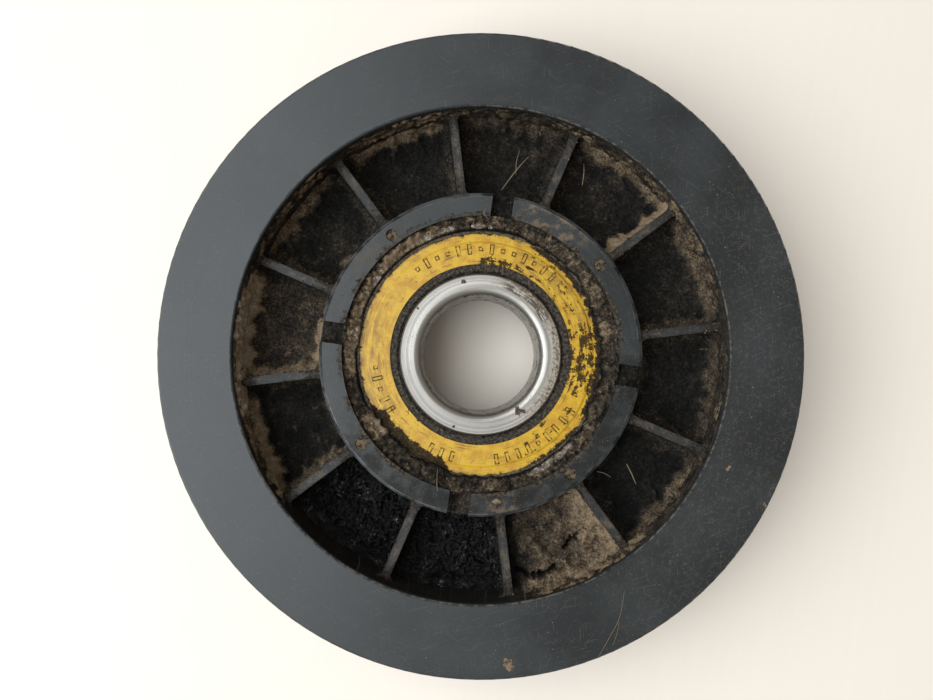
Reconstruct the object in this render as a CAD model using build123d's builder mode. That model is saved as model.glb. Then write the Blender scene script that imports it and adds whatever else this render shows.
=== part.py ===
from build123d import *
import os
from math import asin, degrees, sqrt

# Flanged flat idler of a belt tensioner: a ribbed nylon wheel moulded round a sealed deep-groove ball bearing.
# Millimetres. +Z is the bearing's axis, towards the ejector-marked front; the origin is the bore's centre at mid width.
# The four notches of each hub lip lie on the X and Y axes, and the wheel is the same on both sides of Z = 0.

# ---- driving dimensions: wheel ----
FLANGE_D = 88.9
BELT_FACE_D = 76.2
WHEEL_WIDTH = 19.05
CHANNEL_WIDTH = 13.8        # between the flanges at the belt face
FLANGE_FLARE = 0.35         # how far each flange leans outwards from its root to its edge
CHANNEL_ROOT_R = 0.9
FLANGE_EDGE_R = 0.35
RIM_MOUTH_R = 34.4          # where the flat front face ends and the rim's mouth begins
RIM_MOUTH_ROUND = 0.25
HUB_R = 22.7
HUB_CHAMFER = 0.5
LIP_R = 19.45               # the hub's lip reaches in over the bearing's outer corner
LIP_HEIGHT = 1.5            # of the hub's lip above the bearing's side face
RIB_COUNT = 12
RIB_THICKNESS = 1.2
RIB_RISE = 0.5              # of the ribs' tops above the bearing's side face
WEB_THICKNESS = 3.0
POCKET_DRAFT = 1.0          # degrees
POCKET_CORNER_R = 0.9
POCKET_FLOOR_R = 0.8
NOTCH_COUNT = 4
NOTCH_WIDTH = 3.0
EJECTOR_R = 0.85
EJECTOR_DEPTH = 0.2
GATE_R = 0.9
GATE_HEIGHT = 0.25

# ---- driving dimensions: bearing 17 x 40 x 12 ----
BORE_D = 17.0
BEARING_D = 40.0
BEARING_WIDTH = 12.0
OUTER_CORNER_R = 0.8
BORE_CORNER_R = 1.0
BALL_COUNT = 8
BALL_R = 3.373
PITCH_R = 14.25
GROOVE_R = 3.51             # raceway groove, 52% of the ball's diameter
RACE_CLEARANCE = 0.02       # between a ball and each raceway
OUTER_SHOULDER_R = 16.35
INNER_SHOULDER_R = 12.25
SEAL_LAND_R = 11.45         # where the seal's lip runs on the inner ring
SEAL_SEAT_Z = 4.5           # from mid width to the seal's seat in either ring
SEAL_GROOVE_R = 18.05
SEAL_GROOVE_HEIGHT = 0.95
SEAL_GROOVE_SLOPE = 0.2     # from the groove in to its mouth
SEAL_MOUTH_R = 17.75
LAND_CHAMFER = 0.2

# ---- driving dimensions: cage ----
CAGE_THICKNESS = 0.7
CAGE_INNER_R = 12.95
CAGE_OUTER_R = 15.55
BALL_PLAY = 0.07
RIVET_R = 0.6
RIVET_HEAD_R = 1.0
RIVET_HEAD_HEIGHT = 0.45
RIVET_HEAD_ROUND = 0.3

# ---- driving dimensions: seals ----
SHROUD_INNER_R = 12.85
SHROUD_OUTER_R = 17.2
SHROUD_THICKNESS = 0.4
SHROUD_TOP_Z = 5.75
SHROUD_STEP = 0.15          # the shroud's outer border lies this much lower than its face
SHROUD_STEP_R = 16.1
SHROUD_STEP_RUN = 0.3
LIP_CLEARANCE = 0.05        # between the rubber lip and the inner ring
MEMBRANE = 0.35             # rubber bonded behind the shroud
BEAD_SET_BACK = 0.25        # of the rubber bead from the outer ring's shoulder, and its top's chamfer
SEAL_LIP_Z = 4.95
SEAL_LIP_EDGE = 0.25
SEAL_LIP_SLOPE = 0.45

# ---- worked out ----
flange_r = FLANGE_D / 2
belt_r = BELT_FACE_D / 2
rim_z = WHEEL_WIDTH / 2
channel_z = CHANNEL_WIDTH / 2
bearing_r = BEARING_D / 2
bearing_z = BEARING_WIDTH / 2
bore_r = BORE_D / 2
hub_z = bearing_z + LIP_HEIGHT
rib_z = bearing_z + RIB_RISE
web_z = WEB_THICKNESS / 2
rim_wall_r = RIM_MOUTH_R - RIM_MOUTH_ROUND
bay_angle = 360 / RIB_COUNT
ball_angle = 360 / BALL_COUNT
notch_ring_r = (LIP_R + HUB_R) / 2
groove_outer_r = PITCH_R + BALL_R + RACE_CLEARANCE
groove_inner_r = PITCH_R - BALL_R - RACE_CLEARANCE
outer_groove_centre = groove_outer_r - GROOVE_R
inner_groove_centre = groove_inner_r + GROOVE_R
outer_groove_z = sqrt(GROOVE_R**2 - (OUTER_SHOULDER_R - outer_groove_centre) ** 2)
inner_groove_z = sqrt(GROOVE_R**2 - (inner_groove_centre - INNER_SHOULDER_R) ** 2)
shroud_border_z = SHROUD_TOP_Z - SHROUD_STEP
shroud_border_back_z = shroud_border_z - SHROUD_THICKNESS
shroud_back_z = SHROUD_TOP_Z - SHROUD_THICKNESS
shroud_rise_r = SHROUD_STEP_R - SHROUD_STEP_RUN
membrane_z = shroud_border_back_z - MEMBRANE
seal_lip_r = SEAL_LAND_R + LIP_CLEARANCE
cage_pocket_r = BALL_R + BALL_PLAY

os.makedirs("parts", exist_ok=True)


def corners(sketch, r, z):
    """The two corners of a mirrored section at radius r and heights z and -z."""
    return [v for v in sketch.vertices() if abs(v.X - r) < 1e-4 and abs(abs(v.Y) - z) < 1e-4]


def half_bay(r):
    """Half the angle, in degrees, that one pocket between two ribs spans at radius r."""
    return bay_angle / 2 - degrees(asin(RIB_THICKNESS / 2 / r))


def save(piece, name):
    """Labels a finished piece and writes it as the node of that name."""
    piece.label = name
    export_step(piece, f"parts/{name}.step")


# ---- one pocket between two ribs, as the tool that cuts it from the front ----
with BuildPart() as pocket:
    with BuildSketch(Plane.XY.offset(rib_z)) as pocket_mouth:
        with BuildLine():
            rim_side = CenterArc((0, 0), rim_wall_r, -half_bay(rim_wall_r), 2 * half_bay(rim_wall_r))
            hub_side = CenterArc((0, 0), HUB_R, -half_bay(HUB_R), 2 * half_bay(HUB_R))
            Line(rim_side @ 0, hub_side @ 0)
            Line(rim_side @ 1, hub_side @ 1)
        make_face()
        fillet(pocket_mouth.vertices(), POCKET_CORNER_R)
    extrude(amount=-(rib_z - web_z), taper=POCKET_DRAFT)
    fillet(pocket.faces().sort_by(Axis.Z)[0].edges(), POCKET_FLOOR_R)

# ---- the space that the bearing fills inside the moulding ----
with BuildPart() as bearing_envelope:
    Cylinder(bearing_r, BEARING_WIDTH)
    fillet(bearing_envelope.edges().filter_by(GeomType.CIRCLE), OUTER_CORNER_R)

# ---- wheel: flanges, belt face, web, ribs and hub are one moulding ----
with BuildPart() as pulley_body:
    with BuildSketch(Plane.XZ) as section:
        with BuildLine():
            Polyline(
                (LIP_R, 0),
                (LIP_R, hub_z),
                (HUB_R, hub_z),
                (HUB_R, rib_z),
                (rim_wall_r, rib_z),
                (rim_wall_r, rim_z),
                (flange_r, rim_z),
                (flange_r, channel_z + FLANGE_FLARE),
                (belt_r, channel_z),
                (belt_r, 0),
            )
            mirror(about=Plane.XZ)
        make_face()
        chamfer(corners(section, HUB_R, hub_z), HUB_CHAMFER)
        fillet(corners(section, rim_wall_r, rim_z), RIM_MOUTH_ROUND)
        fillet(corners(section, flange_r, rim_z), FLANGE_EDGE_R)
        fillet(corners(section, flange_r, channel_z + FLANGE_FLARE), FLANGE_EDGE_R)
        fillet(corners(section, belt_r, channel_z), CHANNEL_ROOT_R)
    revolve(axis=Axis.Z)
    with PolarLocations(0, RIB_COUNT):
        add(pocket.part, mode=Mode.SUBTRACT)
        add(mirror(pocket.part, about=Plane.XY, mode=Mode.PRIVATE), mode=Mode.SUBTRACT)
    add(bearing_envelope.part, mode=Mode.SUBTRACT)
    for side in (1, -1):
        with Locations((0, 0, side * (bearing_z + LIP_HEIGHT / 2))):
            with PolarLocations(notch_ring_r, NOTCH_COUNT):
                Box(2 * (HUB_R - LIP_R), NOTCH_WIDTH, LIP_HEIGHT, mode=Mode.SUBTRACT)
    with Locations((0, 0, hub_z - EJECTOR_DEPTH / 2)):
        with PolarLocations((LIP_R + HUB_R - HUB_CHAMFER) / 2, NOTCH_COUNT, start_angle=180 / NOTCH_COUNT):
            Cylinder(EJECTOR_R, EJECTOR_DEPTH, mode=Mode.SUBTRACT)
    with Locations((0, 0, -(hub_z + GATE_HEIGHT / 2))):
        with PolarLocations((LIP_R + HUB_R - HUB_CHAMFER) / 2, NOTCH_COUNT, start_angle=180 / NOTCH_COUNT):
            Cylinder(GATE_R, GATE_HEIGHT)
save(pulley_body.part, "pulley_body")

# ---- bearing rings ----
with BuildPart() as bearing_outer_ring:
    with BuildSketch(Plane.XZ) as section:
        with BuildLine():
            ThreePointArc(
                (OUTER_SHOULDER_R, -outer_groove_z), (groove_outer_r, 0), (OUTER_SHOULDER_R, outer_groove_z)
            )
            for side in (1, -1):
                Polyline(
                    (OUTER_SHOULDER_R, side * outer_groove_z),
                    (OUTER_SHOULDER_R, side * SEAL_SEAT_Z),
                    (SEAL_GROOVE_R, side * SEAL_SEAT_Z),
                    (SEAL_GROOVE_R, side * (SEAL_SEAT_Z + SEAL_GROOVE_HEIGHT)),
                    (SEAL_MOUTH_R, side * (SEAL_SEAT_Z + SEAL_GROOVE_HEIGHT + SEAL_GROOVE_SLOPE)),
                    (SEAL_MOUTH_R, side * bearing_z),
                    (bearing_r, side * bearing_z),
                    (bearing_r, 0),
                )
        make_face()
        fillet(corners(section, bearing_r, bearing_z), OUTER_CORNER_R)
    revolve(axis=Axis.Z)
save(bearing_outer_ring.part, "bearing_outer_ring")

with BuildPart() as bearing_inner_ring:
    with BuildSketch(Plane.XZ) as section:
        with BuildLine():
            ThreePointArc(
                (INNER_SHOULDER_R, -inner_groove_z), (groove_inner_r, 0), (INNER_SHOULDER_R, inner_groove_z)
            )
            for side in (1, -1):
                Polyline(
                    (INNER_SHOULDER_R, side * inner_groove_z),
                    (INNER_SHOULDER_R, side * SEAL_SEAT_Z),
                    (SEAL_LAND_R, side * SEAL_SEAT_Z),
                    (SEAL_LAND_R, side * bearing_z),
                    (bore_r, side * bearing_z),
                    (bore_r, 0),
                )
        make_face()
        chamfer(corners(section, SEAL_LAND_R, bearing_z), LAND_CHAMFER)
        fillet(corners(section, bore_r, bearing_z), BORE_CORNER_R)
    revolve(axis=Axis.Z)
save(bearing_inner_ring.part, "bearing_inner_ring")

# ---- balls, the first of them on the +X axis ----
for number in range(BALL_COUNT):
    with BuildPart() as ball:
        with PolarLocations(PITCH_R, 1, start_angle=number * ball_angle):
            Sphere(BALL_R)
    save(ball.part, f"ball_{number + 1}")

# ---- cage: two wavy strips that meet at mid width, with the balls between them ----
with BuildPart() as cage_front_half:
    with BuildSketch() as strip:
        Circle(CAGE_OUTER_R)
        Circle(CAGE_INNER_R, mode=Mode.SUBTRACT)
    extrude(amount=CAGE_THICKNESS)
    with PolarLocations(PITCH_R, BALL_COUNT):
        Sphere(cage_pocket_r + CAGE_THICKNESS)
    extrude(strip.sketch, amount=BEARING_WIDTH, mode=Mode.INTERSECT)
    with PolarLocations(PITCH_R, BALL_COUNT):
        Sphere(cage_pocket_r, mode=Mode.SUBTRACT)
    with PolarLocations(PITCH_R, BALL_COUNT, start_angle=ball_angle / 2):
        Cylinder(RIVET_R, BEARING_WIDTH, mode=Mode.SUBTRACT)
save(cage_front_half.part, "cage_front_half")
save(mirror(cage_front_half.part, about=Plane.XY, mode=Mode.PRIVATE), "cage_back_half")

with BuildPart() as rivet:
    Cylinder(RIVET_R, 2 * CAGE_THICKNESS)
    for side in (1, -1):
        with Locations((0, 0, side * (CAGE_THICKNESS + RIVET_HEAD_HEIGHT / 2))):
            Cylinder(RIVET_HEAD_R, RIVET_HEAD_HEIGHT)
    end_faces = rivet.faces().sort_by(Axis.Z)
    fillet(end_faces[0].edges() + end_faces[-1].edges(), RIVET_HEAD_ROUND)

with BuildPart() as cage_rivets:
    with PolarLocations(PITCH_R, BALL_COUNT, start_angle=ball_angle / 2):
        add(rivet.part)
save(cage_rivets.part, "cage_rivets")

# ---- seals: a painted steel shroud with rubber bonded behind it and along both its edges ----
with BuildPart() as front_seal_shroud:
    with BuildSketch(Plane.XZ):
        with BuildLine():
            Polyline(
                (SHROUD_INNER_R, shroud_back_z),
                (SHROUD_INNER_R, SHROUD_TOP_Z),
                (shroud_rise_r, SHROUD_TOP_Z),
                (SHROUD_STEP_R, shroud_border_z),
                (SHROUD_OUTER_R, shroud_border_z),
                (SHROUD_OUTER_R, shroud_border_back_z),
                (SHROUD_STEP_R, shroud_border_back_z),
                (shroud_rise_r, shroud_back_z),
                close=True,
            )
        make_face()
    revolve(axis=Axis.Z)
save(front_seal_shroud.part, "front_seal_shroud")
save(mirror(front_seal_shroud.part, about=Plane.XY, mode=Mode.PRIVATE), "back_seal_shroud")

with BuildPart() as front_seal_rubber:
    with BuildSketch(Plane.XZ):
        with BuildLine():
            Polyline(
                (seal_lip_r, SEAL_LIP_Z + SEAL_LIP_EDGE),
                (seal_lip_r, SEAL_LIP_Z),
                (seal_lip_r + SEAL_LIP_SLOPE, membrane_z),
                (OUTER_SHOULDER_R + BEAD_SET_BACK, membrane_z),
                (OUTER_SHOULDER_R + BEAD_SET_BACK, SEAL_SEAT_Z),
                (SEAL_GROOVE_R, SEAL_SEAT_Z),
                (SEAL_GROOVE_R, SEAL_SEAT_Z + SEAL_GROOVE_HEIGHT),
                (SEAL_MOUTH_R, SEAL_SEAT_Z + SEAL_GROOVE_HEIGHT + SEAL_GROOVE_SLOPE),
                (SEAL_MOUTH_R, SHROUD_TOP_Z - BEAD_SET_BACK),
                (SEAL_MOUTH_R - BEAD_SET_BACK, SHROUD_TOP_Z),
                (SHROUD_OUTER_R, SHROUD_TOP_Z),
                (SHROUD_OUTER_R, shroud_border_back_z),
                (SHROUD_STEP_R, shroud_border_back_z),
                (shroud_rise_r, shroud_back_z),
                (SHROUD_INNER_R, shroud_back_z),
                (SHROUD_INNER_R, shroud_border_z),
                (seal_lip_r + SEAL_LIP_SLOPE, shroud_border_z),
                close=True,
            )
        make_face()
    revolve(axis=Axis.Z)
save(front_seal_rubber.part, "front_seal_rubber")
save(mirror(front_seal_rubber.part, about=Plane.XY, mode=Mode.PRIVATE), "back_seal_rubber")
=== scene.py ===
import math
import random

import bpy
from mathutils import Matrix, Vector, noise


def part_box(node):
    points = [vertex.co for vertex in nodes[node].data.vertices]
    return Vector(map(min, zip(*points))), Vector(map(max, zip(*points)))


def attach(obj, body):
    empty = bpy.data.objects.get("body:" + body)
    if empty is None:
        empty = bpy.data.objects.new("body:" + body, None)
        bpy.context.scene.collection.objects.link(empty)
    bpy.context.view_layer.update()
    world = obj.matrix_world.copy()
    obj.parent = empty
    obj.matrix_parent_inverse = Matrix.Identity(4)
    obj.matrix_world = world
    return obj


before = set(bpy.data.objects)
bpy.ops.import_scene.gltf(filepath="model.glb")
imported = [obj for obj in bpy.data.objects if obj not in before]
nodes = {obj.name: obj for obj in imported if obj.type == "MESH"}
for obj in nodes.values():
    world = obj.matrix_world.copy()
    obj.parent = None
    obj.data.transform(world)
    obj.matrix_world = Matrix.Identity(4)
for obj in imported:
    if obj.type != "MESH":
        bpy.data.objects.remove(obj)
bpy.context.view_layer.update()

# Millimetres and degrees throughout, in the frame of the CAD model: +Z towards the front, out of the bore.
MM = 0.001
SEED = 11

# ---- sizes read from the frame ----
pulley_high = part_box("pulley_body")[1]
RIM_Z = pulley_high.z / MM
FLANGE_R = pulley_high.x / MM
FACE_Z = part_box("bearing_outer_ring")[1].z / MM

# ---- sizes of the moulding, as it is drawn ----
BELT_R = 38.1
CHANNEL_Z = 6.9
RIM_WALL_R = 34.15
HUB_R = 22.7
LIP_R = 19.45
LIP_Z = FACE_Z + 1.5
RIB_Z = FACE_Z + 0.5
RIB_THICKNESS = 1.2
WEB_Z = 1.5
SEAL_EDGE_R = 17.75
SHROUD_INNER_R = 12.85
SHROUD_OUTER_R = 17.2
BORE_R = 8.5
NOTCH_WIDTH = 3.0
NOTCH_COUNT = 4
BALL_COUNT = 8
BORDER_Z = FACE_Z - 0.4
BAY_COUNT = 12
BAY_ANGLE = 360 / BAY_COUNT


def polar(radius, angle, z):
    """A place in millimetres from its radius, its angle in degrees and its height."""
    turn = math.radians(angle)
    return Vector((radius * math.cos(turn), radius * math.sin(turn), z))


def smooth(value, low, high):
    """0 below low, 1 above high and a smooth step between them."""
    share = min(1, max(0, (value - low) / (high - low)))
    return share * share * (3 - 2 * share)


def rough(place, size, octaves=4, offset=0.0):
    """Fractal noise of about -1 to 1 whose largest features are this many millimetres across."""
    where = Vector(place) / size + Vector((offset, 2.3 * offset, -1.7 * offset))
    return noise.fractal(where, 0.9, 2.1, octaves) * 1.3


# ---- camera, floor and lights ----
CAMERA_PLACE = (-2.045, -1.705, 114.997)
CAMERA_TILT = (1.055, -0.148, 8.3)
CAMERA_LENS = 29.71
DAYLIGHT = (0.95, 0.98, 1.0)
ROOM_LIGHT = (1.0, 0.92, 0.82, 1)


def add_camera():
    """The camera looks almost straight down the bore, from just over 100 mm in front of the bearing."""
    data = bpy.data.cameras.new("camera")
    data.lens = CAMERA_LENS
    data.clip_start = 0.01
    data.clip_end = 20
    camera = bpy.data.objects.new("camera", data)
    camera.location = Vector(CAMERA_PLACE) * MM
    camera.rotation_euler = [math.radians(turn) for turn in CAMERA_TILT]
    bpy.context.scene.collection.objects.link(camera)
    bpy.context.scene.camera = camera


def add_area_light(name, place, size, power, colour):
    """A rectangular soft light, in millimetres, that faces the object."""
    data = bpy.data.lights.new(name, "AREA")
    data.shape = "RECTANGLE"
    data.size = size[0] * MM
    data.size_y = size[1] * MM
    data.energy = power
    data.color = colour
    light = bpy.data.objects.new(name, data)
    light.location = Vector(place) * MM
    light.rotation_euler = (-Vector(place)).to_track_quat("-Z", "Y").to_euler()
    bpy.context.scene.collection.objects.link(light)


def add_lights():
    add_area_light("window", (-430, -35, 660), (960, 820), 8.5, DAYLIGHT)
    add_area_light("low_window", (-340, -170, 265), (300, 300), 0.64, DAYLIGHT)
    world = bpy.data.worlds.new("room")
    world.use_nodes = True
    background = world.node_tree.nodes["Background"]
    background.inputs["Color"].default_value = ROOM_LIGHT
    background.inputs["Strength"].default_value = 0.33
    bpy.context.scene.world = world
    bpy.context.scene.view_settings.view_transform = "Standard"


class Shader:
    """A material's nodes, with a method for each kind used below. A mask is a number from 0 to 1 that says
    where something is, and colour is what is painted so far."""

    def __init__(self, name, colour):
        self.colour = colour
        self.material = bpy.data.materials.new(name)
        self.material.use_nodes = True
        self.tree = self.material.node_tree
        self.surface = self.tree.nodes["Principled BSDF"]
        coords = self.tree.nodes.new("ShaderNodeTexCoord").outputs["Object"]
        self.place = self.vector("SCALE", coords, Scale=1 / MM)
        split = self.node("ShaderNodeSeparateXYZ", self.place)
        self.x, self.y, self.z = split.outputs
        self.flat = self.join(self.x, self.y, 0.0)
        self.radius = self.vector("LENGTH", self.flat)
        self.height = self.absolute(self.z)

    def node(self, kind, *inputs, operation=None, **named):
        made = self.tree.nodes.new(kind)
        if operation:
            made.operation = operation
        for index, value in enumerate(inputs):
            self.put(made.inputs[index], value)
        for name, value in named.items():
            self.put(made.inputs[name], value)
        return made

    def put(self, socket, value):
        if isinstance(value, bpy.types.NodeSocket):
            self.tree.links.new(value, socket)
        else:
            socket.default_value = value

    def set(self, **values):
        for name, value in values.items():
            self.put(self.surface.inputs[name.replace("_", " ")], value)

    def math(self, operation, *inputs):
        return self.node("ShaderNodeMath", *inputs, operation=operation).outputs[0]

    def plus(self, first, second):
        return self.math("ADD", first, second)

    def minus(self, first, second):
        return self.math("SUBTRACT", first, second)

    def times(self, first, second):
        return self.math("MULTIPLY", first, second)

    def over(self, first, second):
        return self.math("DIVIDE", first, second)

    def absolute(self, value):
        return self.math("ABSOLUTE", value)

    def swing(self, share, reach):
        """A share from 0 to 1 as a number that swings about zero."""
        return self.times(self.minus(share, 0.5), reach)

    def turn(self):
        """The angle about the bore from the -X axis, in radians."""
        return self.plus(self.math("ARCTAN2", self.y, self.x), math.pi)

    def vector(self, operation, *inputs, **named):
        outputs = self.node("ShaderNodeVectorMath", *inputs, operation=operation, **named).outputs
        return outputs["Value" if operation in ("LENGTH", "DOT_PRODUCT") else "Vector"]

    def join(self, *numbers):
        return self.node("ShaderNodeCombineXYZ", *numbers).outputs[0]

    def step(self, value, low, high):
        """0 where value is at low and 1 where it is at high, smooth between them."""
        made = self.node("ShaderNodeMapRange", value, low, high, 0.0, 1.0)
        made.interpolation_type = "SMOOTHSTEP"
        return made.outputs[0]

    def band(self, value, low, high, soft):
        """1 where value is between low and high."""
        above = self.step(value, low - soft, low + soft)
        return self.times(above, self.step(value, high + soft, high - soft))

    def both(self, *masks):
        result = masks[0]
        for mask in masks[1:]:
            result = self.times(result, mask)
        return result

    def either(self, *masks):
        result = masks[0]
        for mask in masks[1:]:
            result = self.math("MAXIMUM", result, mask)
        return result

    def near_place(self, radius, angle, reach, soft):
        """1 within reach millimetres of a place beside the bore, and 0 from soft millimetres further out."""
        away = self.vector("SUBTRACT", self.flat, tuple(polar(radius, angle, 0)))
        return self.step(self.vector("LENGTH", away), reach + soft, reach)

    def sector(self, angle, half, soft):
        """1 within half degrees of this angle about the bore, and 0 from soft degrees further out."""
        turn = math.radians(angle)
        along = self.plus(self.times(self.x, math.cos(turn)), self.times(self.y, math.sin(turn)))
        share = self.over(along, self.radius)
        return self.step(share, math.cos(math.radians(half + soft)), math.cos(math.radians(half)))

    def zones(self, zones):
        """The highest of the amounts of zones given as (angle, half width, soft border, amount)."""
        return self.either(*[self.times(self.sector(angle, half, soft), amount)
                             for angle, half, soft, amount in zones])

    def noise(self, size, detail=4, share=0.55, vector=None, distortion=0.0):
        """Fractal noise from 0 to 1 whose features are this many millimetres across."""
        where = self.place if vector is None else vector
        made = self.node("ShaderNodeTexNoise", Vector=where, Scale=1 / size, Detail=detail, Roughness=share,
                         Distortion=distortion)
        return made.outputs["Fac"]

    def patches(self, low, high, size, *noise, **named):
        """Blotches: 0 where the noise is at low and 1 where it is at high."""
        return self.step(self.noise(size, *noise, **named), low, high)

    def cells(self, size):
        """Distance to the nearest of points strewn this many millimetres apart."""
        return self.node("ShaderNodeTexVoronoi", Vector=self.place, Scale=1 / size).outputs["Distance"]

    def specks(self, size, far, near):
        """Round specks strewn this many millimetres apart, which fade out between near and far."""
        return self.step(self.cells(size), far, near)

    def turned(self, across, along, detail=3):
        """Noise in streaks round the bore, across millimetres wide and along millimetres long."""
        where = self.join(self.over(self.radius, across), self.over(self.x, along), self.over(self.y, along))
        return self.noise(1.0, detail, 0.6, where)

    def scratches(self, angle, width, length, amount):
        """Fine straight scratches in one direction across the bore's axis; amount from 0 to 1."""
        turn = math.radians(angle)
        along = self.vector("DOT_PRODUCT", self.place, (math.cos(turn), math.sin(turn), 0))
        across = self.vector("DOT_PRODUCT", self.place, (-math.sin(turn), math.cos(turn), 0))
        where = self.join(self.over(along, length), self.over(across, width), 0.0)
        return self.step(self.noise(1.0, 2, 0.5, where), 1 - 0.45 * amount, 1 - 0.35 * amount)

    def mix(self, share, first, second):
        made = self.tree.nodes.new("ShaderNodeMix")
        made.data_type = "RGBA"
        self.put(made.inputs[0], share)
        for socket, value in ((made.inputs[6], first), (made.inputs[7], second)):
            self.put(socket, value if isinstance(value, bpy.types.NodeSocket) else (*value, 1))
        return made.outputs[2]

    def coat(self, paint, *masks):
        """Paint over the colour where all the masks are; a number among them is the paint's share."""
        self.colour = self.mix(self.both(*masks), self.colour, paint)

    def blend(self, share, first, second):
        """A number that goes from first to second."""
        made = self.tree.nodes.new("ShaderNodeMix")
        made.data_type = "FLOAT"
        self.put(made.inputs[0], share)
        self.put(made.inputs[2], first)
        self.put(made.inputs[3], second)
        return made.outputs[0]

    def bump(self, height, depth, strength=1.0):
        """Roughness of the surface, where a height of 1 stands for depth millimetres."""
        made = self.node("ShaderNodeBump", Height=height, Distance=depth * MM, Strength=strength)
        self.put(self.surface.inputs["Normal"], made.outputs[0])


# ---- colours, as linear light ----
NYLON = (0.0155, 0.0178, 0.0192)
NYLON_WORN = (0.045, 0.052, 0.055)
NYLON_POLISHED = (0.034, 0.038, 0.042)
NYLON_CHAFED = (0.11, 0.115, 0.12)
# The colour of a painted highlight along the hub's edge
NYLON_HIGHLIGHT = (0.27, 0.28, 0.29)
DUST = (0.34, 0.29, 0.23)
DUSTY_EDGE = (0.13, 0.118, 0.098)
SOIL_TAN = (0.222, 0.165, 0.105)
SOIL_PALE_BROWN = (0.15, 0.108, 0.066)
SOIL_MID_BROWN = (0.12, 0.09, 0.06)
SOIL_BROWN = (0.050, 0.039, 0.028)
SOIL_DARK = (0.0105, 0.0102, 0.0092)
# The grey-blue of a smear whose bluish sheen is painted into its colour
SMEAR_SHEEN_GREY = (0.034, 0.042, 0.048)
GREASE = (0.0042, 0.0042, 0.0042)
STEEL = (0.52, 0.508, 0.48)
STEEL_SHADED = (0.33, 0.322, 0.30)
STEEL_DULL = (0.25, 0.243, 0.228)
STEEL_LINE = (0.20, 0.187, 0.16)
STEEL_BROWNED = (0.32, 0.262, 0.18)
STEEL_BLUED = (0.22, 0.25, 0.33)
STEEL_BORE = (0.34, 0.335, 0.30)
RUST_DARK = (0.02, 0.016, 0.012)
RUST = (0.075, 0.05, 0.03)
YELLOW = (0.57, 0.357, 0.022)
YELLOW_DEEP = (0.44, 0.235, 0.014)
PAINT_STAIN = (0.16, 0.088, 0.02)
PAINT_BLACK = (0.03, 0.02, 0.012)
BARE_DARK = (0.010, 0.008, 0.006)
BARE_BROWN = (0.078, 0.05, 0.028)
CAKED_DARK = (0.008, 0.0072, 0.006)
CAKED_BROWN = (0.068, 0.05, 0.033)
RUBBER = (0.010, 0.010, 0.010)
RUBBER_BLACK = (0.006, 0.0055, 0.005)
RUBBER_GREY = (0.085, 0.068, 0.048)
RUBBER_DUST = (0.13, 0.10, 0.066)
RUBBER_CAKED = (0.15, 0.112, 0.07)
STRAW = (0.22, 0.18, 0.12)
STRAW_BROWN = (0.2, 0.14, 0.07)
TABLE = (0.838, 0.782, 0.708)
TABLE_PALE = (0.846, 0.79, 0.718)
TABLE_MARK = (0.805, 0.747, 0.665)
NYLON_TINT = (0.93, 0.975, 1.0, 1)

# Radii of the ejector marks in the lip
MARK_REACH = (19.9, 21.8)


# ---- the wheel's nylon ----
def wear_and_highlight_edges(s, ragged):
    """Chafed flange and hub edges, and a painted highlight along the lower left of the hub's edge."""
    radius = s.plus(s.radius, ragged)
    flange = s.both(s.step(radius, FLANGE_R - 0.4, FLANGE_R - 0.1), s.patches(0.4, 0.62, 1.1, 3))
    hub = s.both(s.band(radius, HUB_R - 0.55, HUB_R + 0.1, 0.1), s.step(s.height, LIP_Z - 0.7, LIP_Z - 0.4),
                 s.patches(0.38, 0.6, 1.7, 4))
    line = s.step(s.height, LIP_Z - 0.3, LIP_Z - 0.15)
    line = s.both(s.band(s.radius, HUB_R - 0.5, HUB_R - 0.3, 0.06), line)
    s.coat(NYLON_CHAFED, s.either(s.both(flange, 0.5), s.both(hub, 0.7)))
    # Painted highlight: a bright line along the hub's edge, only on the lower left side that the light comes
    # from
    s.coat(NYLON_HIGHLIGHT, 0.8, line, s.sector(242, 34, 16), s.patches(0.36, 0.5, 0.9, 4, 0.7))


def polish_belt_face(s):
    """Tracks that the belt has polished round the channel."""
    belt = s.both(s.step(s.radius, BELT_R - 0.5, BELT_R), s.step(s.height, CHANNEL_Z + 0.6, CHANNEL_Z - 0.2))
    tracks = s.join(s.over(s.z, 0.35), s.over(s.x, 30), s.over(s.y, 30))
    s.coat(NYLON_POLISHED, belt, s.patches(0.35, 0.65, 1.0, 4, 0.6, tracks))


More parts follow.
